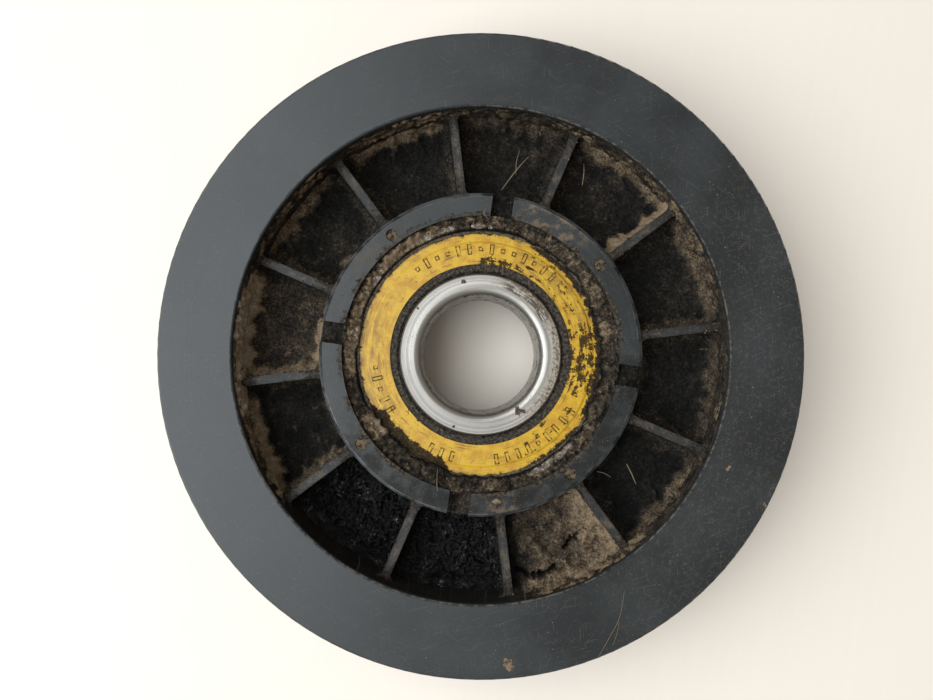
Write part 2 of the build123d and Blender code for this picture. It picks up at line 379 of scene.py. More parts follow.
def soil_pockets(s):
    """Grime in the pockets and dirt on the ribs. The result is where the nylon is dirty."""
    inside = s.band(s.radius, HUB_R - 0.05, RIM_WALL_R + 0.35, 0.05)
    deep = s.both(inside, s.step(s.height, RIB_Z - 0.08, RIB_Z - 0.4))
    wall = s.both(s.band(s.radius, RIM_WALL_R - 0.3, RIM_WALL_R + 0.3, 0.1),
                  s.step(s.height, RIM_Z - 0.325, RIM_Z - 0.925))
    rib_top = s.both(inside, s.band(s.height, RIB_Z - 0.12, RIB_Z + 0.12, 0.05))
    rib_ends = s.step(s.absolute(s.minus(s.radius, (HUB_R + RIM_WALL_R) / 2)), 2.2, 5.2)
    bays = s.times(s.turn(), BAY_COUNT / (2 * math.pi))
    from_bay_middle = s.times(s.absolute(s.minus(s.math("FRACT", bays), 0.5)), s.radius)
    from_bay_middle = s.times(from_bay_middle, math.radians(BAY_ANGLE))
    crumbled = s.plus(s.noise(0.7, 6, 0.75), s.plus(s.times(rib_ends, 0.17), s.times(from_bay_middle, 0.25)))
    rib_dirt = s.both(rib_top, s.step(crumbled, 0.60, 0.70))
    greasy = s.sector(254, 28, 10)
    dirt = s.mix(s.patches(0.42, 0.66, 0.4, 5, 0.75), SOIL_DARK, SOIL_BROWN)

    s.coat(SOIL_DARK, 0.52, rib_top)
    s.coat(NYLON_WORN, 0.3, rib_top, s.patches(0.42, 0.62, 0.5, 5, 0.7))
    s.coat(SOIL_TAN, 0.34, rib_top, s.patches(0.46, 0.62, 1.4, 7, 0.74))
    s.coat(SOIL_DARK, 0.92, s.either(deep, wall))
    s.coat(SOIL_BROWN, wall, s.patches(0.4, 0.62, 1.6, 6, 0.7), s.minus(0.95, s.both(greasy, 0.75)))
    s.coat(SOIL_TAN, 0.8, wall, s.sector(188, 12, 8), s.patches(0.4, 0.6, 1.1, 6, 0.72))
    s.coat(dirt, 0.92, rib_dirt)
    return s.either(deep, wall, rib_dirt, s.both(rib_top, 0.45))


def soil_lip(s, lip):
    """Dirt on the hub's lip, and painted shade on it round 295 degrees. The results are where it is dirty and
    where the painted shade darkens it and dulls its shine.
    """
    face = s.both(s.step(s.radius, HUB_R, HUB_R - 0.3), s.step(s.height, LIP_Z - 0.6, LIP_Z - 0.3))
    front = s.step(s.z, 0.0, 1.0)
    smeared = s.either(s.sector(69, 9, 7), s.both(s.sector(286, 3, 4), 0.7),
                       s.both(s.sector(146, 5, 6), 0.4))
    smear = s.both(lip, front, s.patches(0.47, 0.62, 1.3, 7, 0.72), smeared)
    shade = s.both(lip, front, s.sector(295, 66, 22), s.patches(0.3, 0.6, 2.4, 5, 0.65))
    marks = s.both(s.band(s.radius, *MARK_REACH, 0.05), s.band(s.height, LIP_Z - 0.25, LIP_Z - 0.04, 0.02))
    crumbly = s.noise(0.5, 6, 0.75)
    creep = s.plus(s.radius, s.swing(s.noise(1.0, 7, 0.75), 2.6))
    creep = s.both(face, s.step(creep, LIP_R + 0.75, LIP_R + 0.35), s.patches(0.36, 0.6, 3.4, 3))

    # Painted shade: the lip is darkened with the soil's dark colour on the side round 295 degrees
    s.coat(SOIL_DARK, 0.6, shade)
    s.coat(SOIL_DARK, 0.62, face, s.sector(212, 80, 25), s.patches(0.25, 0.6, 1.6, 5, 0.7))
    s.coat(SOIL_TAN, 0.62, smear)
    filling = s.mix(s.step(crumbly, 0.44, 0.58), SOIL_DARK, SOIL_PALE_BROWN)
    s.coat(filling, 0.92, marks, s.step(crumbly, 0.3, 0.42))
    crust = s.mix(s.step(crumbly, 0.42, 0.62), SOIL_DARK, SOIL_MID_BROWN)
    s.coat(crust, 0.85, creep)
    return s.either(smear, creep, marks), shade


def dust_rim(s, lip, ragged, scuffs):
    """Haze, specks and scuffs on the rim and the lip, and a dusty line along the rim's mouth."""
    right = s.sector(-8, 62, 30)
    haze = s.both(s.sector(-4, 34, 30), s.patches(0.5, 0.72, 0.6, 6, 0.75), s.step(s.radius, 33, 36))
    coarse = s.both(s.specks(0.5, 0.13, 0.05), s.patches(0.46, 0.6, 5, 3))
    fine = s.both(s.specks(0.24, 0.16, 0.06), s.patches(0.5, 0.62, 3.2, 4), s.either(lip, right))
    radius = s.plus(s.radius, s.times(ragged, 0.25))
    mouth = s.both(s.band(radius, RIM_WALL_R + 0.02, RIM_WALL_R + 0.24, 0.05),
                   s.step(s.height, RIM_Z - 0.275, RIM_Z - 0.125), s.patches(0.43, 0.57, 0.8, 6, 0.72))
    s.coat(SOIL_TAN, 0.2, haze)
    dusty = s.either(s.both(coarse, 0.45), s.both(fine, s.blend(lip, 0.5, 0.75)), s.both(scuffs, 0.27))
    s.coat(DUST, dusty)
    s.coat(DUSTY_EDGE, 0.6, mouth, s.either(s.sector(25, 62, 25), s.sector(258, 40, 25)))


def nylon_material():
    """Satin nylon: faint moulded rings, dust on the rim, grime in the pockets, a polished belt face."""
    s = Shader("moulded_nylon", NYLON)
    clouds = s.patches(0.35, 0.7, 11, 5)
    lines = s.turned(0.2, 26)
    grain = s.noise(0.3, 4, 0.65)
    ragged = s.swing(s.noise(0.8, 5, 0.7), 0.5)
    lip = s.step(s.height, LIP_Z - 0.1, LIP_Z - 0.02)
    lip = s.both(s.band(s.radius, LIP_R + 0.05, HUB_R - 0.3, 0.1), lip)
    mouth = s.both(s.band(s.plus(s.radius, ragged), RIM_WALL_R - 0.2, RIM_WALL_R + 0.3, 0.1),
                   s.step(s.height, RIM_Z - 0.725, RIM_Z - 0.225))
    scuffs = s.either(s.scratches(25, 0.05, 5, 0.75), s.scratches(100, 0.045, 4, 0.7),
                      s.scratches(152, 0.05, 6, 0.7), s.scratches(64, 0.03, 9, 0.68))

    s.coat(NYLON_WORN, 0.3, clouds)
    s.coat(NYLON_WORN, 0.3, s.step(lines, 0.5, 0.8), s.step(grain, 0.3, 0.6))
    wear_and_highlight_edges(s, ragged)
    polish_belt_face(s)
    pocket_dirt = soil_pockets(s)
    lip_dirt, shade = soil_lip(s, lip)
    dust_rim(s, lip, ragged, scuffs)
    s.set(Base_Color=s.colour, IOR=1.5, Specular_Tint=NYLON_TINT)

    dirty = s.either(pocket_dirt, lip_dirt, s.both(mouth, 0.9))
    gloss = s.plus(s.plus(s.times(lines, 0.12), s.times(clouds, 0.1)), s.times(dirty, 0.35))
    s.set(Roughness=s.plus(gloss, 0.27))
    s.set(Specular_IOR_Level=s.blend(s.either(dirty, s.both(shade, 0.8)), 0.5, 0.12))
    relief = s.plus(s.times(lines, 0.4), s.times(grain, s.plus(dirty, 0.4)))
    s.bump(s.minus(relief, s.times(scuffs, 0.3)), 0.03, 0.6)
    return s.material


# ---- the bearing's steel ----
# Brown spots on the inner ring: radius, angle and reach, in millimetres and degrees
INNER_RING_SPOTS = ((10.6, 111.5, 0.3), (9.6, 312, 0.5), (10.0, 315, 0.35), (11.0, 152, 0.15),
                    (10.9, 258, 0.2))


def brown_side(s, stain, fine, smears):
    """Brown stains, a dull patch and a blued line on the inner ring. The result is the whole stain."""
    outer = s.step(s.plus(s.radius, s.times(fine, 2.0)), 10.6, 12.0)
    side = s.sector(18, 45, 30)
    streaks = s.both(s.sector(56, 17, 14), s.step(s.turned(0.3, 2.2, 6), 0.46, 0.54),
                     s.step(fine, 0.36, 0.46), s.step(s.radius, 9.6, 10.0))
    stain = s.either(stain, s.both(side, s.step(fine, 0.47, 0.55), outer, 0.9), s.both(streaks, 0.95))
    s.coat(STEEL_BROWNED, 0.55, side, outer)
    s.coat(STEEL_DULL, 0.45, s.sector(248, 38, 25))
    line = s.band(s.radius, 10.2, 10.33, 0.08)
    s.coat(STEEL_BLUED, 0.55, line, s.sector(215, 75, 30), s.step(smears, 0.3, 0.5))
    return stain


def steel_material(name, inner_ring=False, film=0.0):
    """Ground bearing steel with faint rings and fine stains; film is a thin film of mud, from 0 to 1."""
    s = Shader(name, STEEL_SHADED)
    rings = s.turned(0.12, 18)
    smears = s.noise(1.8, 5, 0.65)
    fine = s.noise(0.42, 6, 0.78)
    s.coat(STEEL, s.step(s.turned(0.45, 60), 0.36, 0.64))
    s.coat(STEEL_LINE, 0.5, s.step(s.turned(0.16, 7, 5), 0.54, 0.64), s.step(smears, 0.34, 0.6))
    dots = s.both(s.specks(0.55, 0.15, 0.07), s.patches(0.5, 0.6, 2.4, 3))
    stain = s.either(dots, s.both(s.step(fine, 0.6, 0.68), s.patches(0.42, 0.58, 2.2, 3), 0.7))
    dirt = RUST_DARK
    if inner_ring:
        stain = brown_side(s, stain, fine, smears)
        broken = s.swing(s.noise(0.5, 6, 0.8), 3.2)
        for radius, angle, reach in INNER_RING_SPOTS:
            spot = s.near_place(radius, angle, reach / 4, reach * 2)
            stain = s.either(stain, s.step(s.plus(spot, broken), 0.55, 0.7))
        bore = s.step(s.radius, BORE_R + 0.25, BORE_R + 0.1)
        # The grime is real specks, made denser in a thin band just below the bore's rounded corner as painted
        # shade where the corner ends
        corner = s.band(s.z, FACE_Z - 1.4, FACE_Z - 0.9, 0.2)
        grime = s.plus(s.noise(1.0, 6, 0.75), s.times(corner, 0.12))
        stain = s.either(stain, s.both(bore, s.step(grime, 0.54, 0.6)))
        s.coat(STEEL_BORE, 0.5, bore)
        dirt = s.mix(bore, RUST_DARK, SOIL_DARK)
    if film:
        muddy = s.patches(0.62 - 0.4 * film, 0.8 - 0.4 * film, 0.6, 6, 0.75)
        s.coat(SOIL_TAN, 0.7, muddy)
        stain = s.either(stain, s.both(muddy, 0.75))
    s.coat(s.mix(s.step(fine, 0.4, 0.6), dirt, RUST), 0.95, stain)
    s.set(Base_Color=s.colour, Metallic=s.minus(1.0, stain))
    s.set(Specular_IOR_Level=s.blend(stain, 0.5, 0.15))
    roughness = s.plus(s.times(rings, 0.2), s.times(smears, 0.18))
    s.set(Roughness=s.plus(s.plus(roughness, 0.24), s.both(stain, 0.3)))
    s.bump(s.plus(rings, s.times(stain, 0.7)), 0.012, 0.7)
    return s.material


# ---- the seal ----
def rubber_material():
    """Black nitrile rubber, granular and dusty, blackest at the lip and caked at the bead."""
    s = Shader("seal_rubber", RUBBER)
    grains = s.noise(0.4, 6, 0.8)
    lip = s.step(s.radius, SHROUD_INNER_R + 0.35, SHROUD_INNER_R - 0.15)
    bead = s.step(s.radius, SHROUD_OUTER_R - 0.3, SHROUD_OUTER_R)
    s.coat(RUBBER_GREY, s.step(grains, 0.40, 0.58))
    s.coat(RUBBER_DUST, 0.7, s.specks(0.42, 0.22, 0.1), s.patches(0.42, 0.58, 1.2, 4))
    s.coat(RUBBER_BLACK, 0.85, lip, s.step(grains, 0.62, 0.42))
    s.coat(RUBBER_CAKED, 0.5, bead, s.step(grains, 0.42, 0.58))
    s.set(Base_Color=s.colour, Roughness=s.plus(s.times(grains, 0.4), 0.4))
    s.set(Specular_IOR_Level=s.times(grains, 0.5))
    s.bump(grains, 0.1, 0.9)
    return s.material


# Groups of stamped ticks on the shroud: middle angle and half width, in degrees
TICK_GROUPS = ((93, 44), (208, 13), (258, 9), (313, 27))
TICK_R = 15.0
TICK_PITCH = 1.6
TICK_HALF_WIDTH = 0.24
TICK_HALF_LENGTH = 0.25
TICK_EXTRA = 0.42           # what a long tick has beyond this at each end
# Where the paint is worn through: middle, half width and soft border, in degrees, and how much
WORN_ZONES = ((6, 11, 18, 0.148), (42, 22, 18, 0.085), (322, 12, 16, 0.07), (232, 12, 14, 0.06))
# Where dirt covers the paint's outer edge: the same, with how many millimetres inwards
CAKED_ZONES = ((238, 16, 12, 1.7), (53, 10, 12, 0.8), (8, 24, 12, 0.8), (316, 10, 10, 0.4))


def stamped_ticks(s, fine):
    """How far a place is from the edge of the nearest tick, in millimetres, negative inside it."""
    steps = s.times(s.turn(), TICK_R / TICK_PITCH)
    kind = s.node("ShaderNodeTexWhiteNoise", Vector=s.join(s.math("FLOOR", steps))).outputs["Value"]
    sideways = s.times(s.absolute(s.minus(s.math("FRACT", steps), 0.5)), TICK_PITCH)
    sideways = s.minus(s.plus(sideways, s.swing(fine, 0.12)), TICK_HALF_WIDTH)
    half_length = s.plus(s.times(s.math("GREATER_THAN", kind, 0.4), TICK_EXTRA), TICK_HALF_LENGTH)
    return s.math("MAXIMUM", sideways, s.minus(s.absolute(s.minus(s.radius, TICK_R)), half_length))


def shroud_material():
    """Yellow paint on pressed steel, stamped with plain ticks, and brown where grit has rubbed it."""
    s = Shader("shroud_paint", YELLOW)
    tint = s.noise(1.5, 6, 0.66)
    fine = s.noise(0.5, 6, 0.78)
    rings = s.turned(0.3, 5, 5)
    rubbed = s.either(s.sector(192, 22, 14), s.sector(50, 20, 14))
    s.coat(YELLOW_DEEP, s.step(tint, 0.38, 0.66))
    s.coat(PAINT_STAIN, 0.8, s.step(rings, 0.56, 0.66), s.step(tint, 0.36, 0.6))
    s.coat(PAINT_STAIN, 0.7, s.step(fine, 0.56, 0.64), s.patches(0.42, 0.6, 2.6, 4, 0.65))
    s.coat(PAINT_BLACK, 0.85, s.specks(0.42, 0.16, 0.08), s.patches(0.45, 0.58, 1.1, 3))
    s.coat(PAINT_STAIN, 0.5, rubbed, s.step(s.turned(0.5, 4, 6), 0.42, 0.62))

    ticks = stamped_ticks(s, fine)
    groups = s.either(*[s.sector(angle, half, 1) for angle, half in TICK_GROUPS])
    pressed = s.both(groups, s.step(ticks, 0.06, 0.0))
    outline = s.both(groups, s.step(s.absolute(ticks), 0.14, 0.04), s.patches(0.38, 0.52, 0.6, 4, 0.7))
    s.coat(PAINT_BLACK, 0.9, outline)

    chips = s.plus(s.times(s.noise(1.1, 7, 0.76), 0.6), s.times(s.turned(0.5, 3, 6), 0.4))
    inner_edge = s.step(s.radius, SHROUD_INNER_R + 1.55, SHROUD_INNER_R + 0.35)
    inner_edge = s.both(s.sector(84, 12, 8), inner_edge)
    wear = s.step(s.plus(chips, s.either(s.zones(WORN_ZONES), s.times(inner_edge, 0.15))), 0.625, 0.65)
    ragged = s.plus(s.radius, s.swing(s.noise(0.9, 7, 0.75), 2.6))
    caked = s.step(s.plus(ragged, s.zones(CAKED_ZONES)), SHROUD_OUTER_R - 0.05, SHROUD_OUTER_R + 0.1)
    border = s.step(ragged, SHROUD_OUTER_R - 0.4, SHROUD_OUTER_R + 0.1)
    gritty = s.patches(0.42, 0.6, 0.36, 7, 0.85)
    s.coat(s.mix(gritty, BARE_DARK, BARE_BROWN), 0.93, wear)
    s.coat(s.mix(gritty, CAKED_DARK, CAKED_BROWN), s.either(s.both(caked, 0.97), s.both(border, 0.8)))
    s.set(Base_Color=s.colour, IOR=1.5)

    dull = s.either(wear, caked, outline)
    s.set(Roughness=s.plus(s.times(dull, 0.4), s.plus(s.times(tint, 0.25), 0.25)))
    s.set(Specular_IOR_Level=s.blend(dull, 0.5, 0.15))
    relief = s.minus(s.times(rings, 0.3), s.plus(s.times(wear, 0.5), pressed))
    s.bump(s.plus(relief, s.times(s.either(caked, wear), s.times(gritty, 1.3))), 0.06, 0.8)
    return s.material


# ---- dirt, straw and the table ----
# The dirt's paints over black grease, and the tones that each comes in between
SOIL_TONES = ((SOIL_DARK, 0.0, 0.22), (SOIL_BROWN, 0.25, 0.6), (SOIL_TAN, 0.55, 0.95), (DUST, 1.05, 1.45))


def soil_material():
    """Caked dirt: tone runs from black grease through brown to dry tan, and shine from dust to wet grease."""
    s = Shader("caked_dirt", GREASE)
    channels = []
    for channel in ("tone", "shine"):
        reader = s.tree.nodes.new("ShaderNodeAttribute")
        reader.attribute_name = channel
        channels.append(reader.outputs["Fac"])
    tone, wet = channels
    grain = s.noise(0.36, 7, 0.85)
    clumps = s.noise(1.3, 6, 0.7)
    bits = s.both(s.specks(0.4, 0.2, 0.12), s.patches(0.45, 0.58, 1.4, 4))
    pits = s.both(s.specks(0.55, 0.24, 0.12), s.patches(0.52, 0.42, 1.1, 3))
    grit = s.both(s.specks(0.27, 0.2, 0.1), s.patches(0.46, 0.56, 0.9, 4))
    mixed = s.plus(s.plus(tone, s.swing(grain, 2.0)), s.swing(clumps, 0.8))
    mixed = s.plus(mixed, s.minus(s.times(bits, 0.4), s.times(pits, 0.3)))
    mixed = s.plus(mixed, s.times(grit, 0.35))
    for paint, low, high in SOIL_TONES:
        s.coat(paint, s.step(mixed, low, high))
    # A smear in the fifth pocket, partly real muck and partly a painted bluish sheen
    sheened_smear = s.both(s.near_place(27.9, 119.6, 0.2, 1.5), s.patches(0.5, 0.62, 0.9, 4, 0.6, distortion=2.5))
    s.coat(SMEAR_SHEEN_GREY, 0.8, sheened_smear)
    s.coat(GREASE, wet)
    s.set(Base_Color=s.colour, IOR=1.5)

    grainy = s.times(grain, 0.2)
    s.set(Roughness=s.blend(wet, s.plus(grainy, 0.74), s.plus(grainy, 0.12)))
    wrinkles = s.absolute(s.minus(s.noise(0.75, 5, 0.62, distortion=1.2), 0.5))
    glints = s.both(s.step(wrinkles, 0.035, 0.005), s.patches(0.48, 0.66, 1.6, 5, 0.7))
    s.set(Specular_IOR_Level=s.blend(wet, s.times(grain, 0.22), s.plus(0.07, s.times(glints, 0.75))))
    s.bump(s.blend(wet, s.plus(grain, s.times(clumps, 0.6)), s.times(wrinkles, 2.4)), 0.13, 0.9)
    return s.material


def straw_material():
    s = Shader("dry_straw", STRAW)
    fibres = s.noise(0.15, 3)
    s.coat(STRAW_BROWN, fibres)
    s.set(Base_Color=s.colour, Roughness=s.plus(s.times(fibres, 0.3), 0.45))
    s.bump(fibres, 0.03)
    return s.material


def floor_material():
    """A pale table top with faint brushed streaks."""
    s = Shader("pale_table", TABLE)
    streaks = s.noise(1.0, 4, 0.6, s.join(s.over(s.x, 1.2), s.over(s.y, 160), 0.0))
    marks = s.noise(26, 5, 0.6)
    s.coat(TABLE_PALE, s.step(streaks, 0.3, 0.7))
    s.coat(TABLE_MARK, 0.25, s.step(marks, 0.5, 0.75))
    s.set(Base_Color=s.colour, Roughness=s.plus(s.times(marks, 0.15), 0.5))
    s.bump(streaks, 0.006, 0.3)
    return s.material


# ---- pieces ----
def add_piece(name, vertices, faces, material, body="pulley", **channels):
    """A mesh piece from places in millimetres; each channel is a number per vertex for its material."""
    mesh = bpy.data.meshes.new(name)
    mesh.from_pydata([Vector(place) * MM for place in vertices], [], faces)
    mesh.materials.append(material)
    for channel, values in channels.items():
        mesh.attributes.new(channel, "FLOAT", "POINT").data.foreach_set("value", values)
    mesh.shade_smooth()
    piece = bpy.data.objects.new(name, mesh)
    bpy.context.scene.collection.objects.link(piece)
    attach(piece, body)
    return piece


def add_crust(name, rows, columns, shape, material, wrap=False):
    """A closed layer over a grid. shape(u, v) gives the top place, the bottom place, tone and shine at shares
    u and v of the rows and columns. wrap joins the last column to the first."""
    tops, bottoms, tones, shines = [], [], [], []
    width = columns if wrap else columns + 1
    for row in range(rows + 1):
        for column in range(width):
            top, bottom, tone, shine = shape(row / rows, column / columns)
            tops.append(top)
            bottoms.append(bottom)
            tones.append(tone)
            shines.append(shine)
    count = len(tops)
    faces = []
    for row in range(rows):
        for column in range(columns):
            after = (column + 1) % width
            a, b = row * width + column, row * width + after
            c, d = a + width, b + width
            faces.append((a, b, d, c))
            faces.append((count + a, count + c, count + d, count + b))
    for column in range(columns):
        after = (column + 1) % width
        last = rows * width
        faces.append((column, count + column, count + after, after))
        faces.append((last + column, last + after, count + last + after, count + last + column))
    if not wrap:
        for row in range(rows):
            a, c = row * width, (row + 1) * width
            faces.append((a, c, count + c, count + a))
            b, d = a + width - 1, c + width - 1
            faces.append((b, count + b, count + d, d))
    return add_piece(name, tops + bottoms, faces, material, tone=tones * 2, shine=shines * 2)


def facing(side):
    """The side of the wheel in a piece's name: 1 is the front and -1 the back."""
    return "front" if side > 0 else "back"


# ---- dirt in the pockets ----
EMBED = 0.1                 # how far a layer of dirt reaches into the plastic that it sits on
POCKET_TOP = RIB_Z - WEB_Z - 0.3
BANK_RUN = 1.1              # how far a bank of muck runs out from its wall
CRACK_DEPTH = 1.1
# Cracks in the dried muck, through places given as (radius, angle)
CRACKS = (((31.5, 288.2), (32.2, 291), (32.5, 294.5), (32.1, 297.5)),
          ((30.5, 301.8), (29.9, 303.6), (29.2, 306.4)))

# One entry per pocket, by angle: muck on the floor and banked against the rim, the hub, and the ribs on its
# low and high sides, in millimetres, and the tone of each from 0, black, to 1, tan. shine is wet grease,
# wrinkle the height of its folds, and lean makes it paler towards the rib on the high side.
CLEAN = {"floor": 0.25, "rim": 1.2, "hub": 0.6, "low": 0.4, "high": 0.4, "floor_tone": 0.12, "rim_tone": 0.5,
         "hub_tone": 0.4, "low_tone": 0.35, "high_tone": 0.35, "shine": 0.0, "wrinkle": 0.12, "lean": 0.0}


def pocket(**changes):
    return {**CLEAN, **changes}


FRONT_POCKETS = (
    pocket(rim=2.4, rim_tone=0.5, floor=0.5, floor_tone=0.18, low=0.9, high=0.8, hub_tone=0.45),
    pocket(rim=3.6, rim_tone=0.62, floor_tone=0.22, low=0.8, low_tone=0.5),
    pocket(rim=3.2, rim_tone=0.7, floor=0.4, low=3.4, low_tone=0.95, floor_tone=0.2, hub=0.9),
    pocket(rim=2.8, rim_tone=0.52, floor_tone=0.22, floor=0.6, hub=1.2, hub_tone=0.3),
    # Pockets 5 to 8, from 120 to 210 degrees, lie on the side the light doesn't reach: their rim tones are
    # partly real tan muck and partly painted light that makes the dirt paler there
    pocket(rim=2.2, rim_tone=0.78, floor_tone=0.2, high=1.0, high_tone=0.4),
    pocket(rim=1.6, rim_tone=0.7, floor_tone=0.22, hub=1.6, hub_tone=0.65, high=1.2, high_tone=0.5),
    pocket(rim=3.8, rim_tone=1.25, floor=0.7, floor_tone=0.42, hub=2.6, hub_tone=0.85, high=2.0,
           high_tone=0.75),
    pocket(rim=3.6, rim_tone=0.9, floor=0.35, floor_tone=0.12, low=1.0, high=1.9, high_tone=0.62),
    pocket(rim=0.5, rim_tone=0.0, floor=1.2, floor_tone=0.0, low_tone=0.1, high_tone=0.2, shine=1.0,
           wrinkle=0.3),
    pocket(rim=0.5, rim_tone=0.1, floor=1.1, floor_tone=0.0, low_tone=0.1, high_tone=0.2, shine=1.0,
           wrinkle=0.24),
    pocket(rim=3.4, rim_tone=0.72, floor=2.4, floor_tone=0.58, low=0.4, low_tone=0.1, high=2.2, high_tone=0.8,
           hub=0.8, hub_tone=0.48, wrinkle=0.3, lean=0.16),
    pocket(rim=3.9, rim_tone=0.6, floor=0.4, floor_tone=0.06, low=0.8, high=0.9, hub_tone=0.3),
)
# The back has the same muck in another order
BACK_POCKETS = tuple(FRONT_POCKETS[(5 * index + 7) % BAY_COUNT] for index in range(BAY_COUNT))


def to_segment(point, start, end):
    """Distance in the XY plane from a point to a straight stretch."""
    along = end - start
    share = min(1, max(0, (point - start).dot(along) / along.length_squared))
    return (point - start - share * along).length


def crack_depth(place):
    """How deep the dried muck's cracks are here."""
    flat = Vector((place.x, place.y))
    near = math.inf
    for crack in CRACKS:
        path = [polar(radius, angle, 0).to_2d() for radius, angle in crack]
        near = min(near, *(to_segment(flat, start, end) for start, end in zip(path, path[1:])))
    return CRACK_DEPTH * (1 - smooth(near + 0.5 * rough(place, 0.7), 0.02, 0.42))


def add_pocket_dirt(index, side, style, material):
    """The layer of muck on one pocket's floor, banked up against its four walls."""
    centre = index * BAY_ANGLE
    seed = SEED + 7.3 * index + (50 if side < 0 else 0)
    cracked = side > 0 and style["floor"] > 2

    def shape(across, out):
        radius = HUB_R - EMBED + out * (RIM_WALL_R - HUB_R + 2 * EMBED)
        half = BAY_ANGLE / 2 - math.degrees(math.asin((RIB_THICKNESS / 2 - EMBED) / radius))
        angle = centre + half * (2 * across - 1)
        place = polar(radius, angle, 0)
        turn = math.radians(half * 2)
        gaps = {
            "rim": RIM_WALL_R - radius,
            "hub": radius - HUB_R,
            "low": radius * turn * across - EMBED,
            "high": radius * turn * (1 - across) - EMBED,
        }
        broad = rough(place, 4.5, 3, seed)
        lumps = rough(place, 1.3, 4, seed + 3)
        tone = style["floor_tone"] + 0.12 * broad + style["lean"] * (2 * across - 1)
        height = style["floor"] * (1 + 0.35 * broad)
        for wall, gap in gaps.items():
            reach = BANK_RUN * (1 + 0.5 * rough(place, 3.2, 3, seed + 11 + len(wall)))
            share = math.exp(-(max(gap, 0) / max(reach, 0.25)) ** 1.4)
            height += style[wall] * share * (1 + 0.3 * lumps)
            spread = smooth(share + 0.22 * lumps, 0.12, 0.55)
            tone += (style[wall + "_tone"] - tone) * spread
        if style["shine"]:
            flow = Vector((rough(place, 3.5, 2, seed + 17), rough(place, 3.5, 2, seed + 19), 0)) * 0.9
            ridges = 1 - abs(rough(place + flow, 0.75, 3, seed + 21)) * 2.4
            height += style["wrinkle"] * ridges * smooth(gaps["rim"], 0.9, 2.4)
        else:
            height += style["wrinkle"] * lumps + 0.13 * rough(place, 0.42, 4, seed + 31)
        if cracked:
            depth = crack_depth(place)
            height -= depth
            tone -= 0.5 * depth
        top = WEB_Z + min(POCKET_TOP, max(0.03, height))
        bottom = polar(radius, angle, side * (WEB_Z - EMBED))
        return polar(radius, angle, side * top), bottom, tone, style["shine"]

    name = f"{facing(side)}_pocket_dirt_{index + 1}"
    if side > 0:
        fineness = 96 if style["shine"] else 72
        return add_crust(name, fineness, fineness, shape, material)
    return add_crust(name, 44, 44, lambda u, v: shape(v, u), material)


def apart(angle, other):
    """Degrees between two directions, from 0 to 180."""
    return abs((angle - other + 180) % 360 - 180)


def angular(angle, patches):
    """The highest value at an angle of smooth patches given as (angle, half width, value)."""
    highest = 0
    for centre, half, value in patches:
        highest = max(highest, value * (1 - smooth(apart(angle, centre), half * 0.7, half * 1.3)))
    return highest


# The amounts from 118 to 214 degrees are raised, partly for real tan dust and partly as painted light on the
# side of the wall in shade
RIM_WALL_DIRT = ((38, 18, 0.65), (66, 16, 0.6), (92, 14, 0.5), (118, 14, 0.55), (152, 14, 0.5),
                 (187, 17, 1.25), (214, 12, 0.6), (306, 17, 0.9), (336, 14, 0.42), (2, 14, 0.42))
WALL_DIRT_TOP = 9.15
WALL_DIRT_DROP = 3.6
# Round this angle the wall's dirt is painted paler: painted light where the wall lies in shade
SHADED_ANGLE = 170          # the side of the rim's wall that the light doesn't reach


def add_rim_wall_dirt(side, material):
    """The film of dust and clods that climbs the inside of the rim above the ribs, painted paler as painted
    light on the side of the wall that lies in shade.
    """
    def shape(down, round_share):
        angle = 360 * round_share
        z = WALL_DIRT_TOP - WALL_DIRT_DROP * down
        place = polar(RIM_WALL_R, angle, z)
        amount = angular(angle, RIM_WALL_DIRT)
        clods = rough(place, 0.9, 5, SEED + 60 * side)
        thick = 0.5 * amount * (0.25 + down) + 0.45 * clods * (0.2 + amount) - 0.1
        thick -= 0.4 * (1 - smooth(down, 0.0, 0.25))
        ends = smooth(down, 0, 0.12)
        thick = min(0.75, thick) * ends - 0.06
        radius = RIM_WALL_R - max(thick, -EMBED)
        # Painted light: the tone is raised on the side of the wall that the light doesn't reach
        painted_light = 1 - smooth(apart(angle, SHADED_ANGLE), 50, 80)
        tone = 0.2 + 0.62 * amount + 0.25 * rough(place, 3, 3, SEED + 5) + 0.22 * painted_light
        return polar(radius, angle, side * z), polar(RIM_WALL_R + EMBED * 1.5, angle, side * z), tone, 0.0

    rows, columns = (16, 760) if side > 0 else (12, 520)
    return add_crust(f"{facing(side)}_rim_wall_dirt", rows, columns, shape, material, wrap=True)


# ---- dirt round the bearing ----
# As (angle, half width, value): where the dirt is rubbed down to steel, is tan, and laps over the seal
SEAM_BRIGHT = ((20, 3, 0.9), (98, 4, 1), (114, 3.5, 1), (124, 2.5, 0.9), (151, 4, 0.9), (178, 2.5, 0.8),
               (224, 4, 1), (308, 8, 0.95), (318, 5, 0.9))
SEAM_TAN = ((146, 30, 1.0), (50, 14, 0.4), (186, 10, 0.8), (222, 6, 0.6))
SEAM_LAP = ((10, 34, 0.7), (62, 14, 0.45), (240, 24, 0.7), (275, 10, 0.4), (318, 12, 0.35), (178, 8, 0.3))
SEAM_BACK_TURN = 137        # degrees that the same dirt is turned by at the back


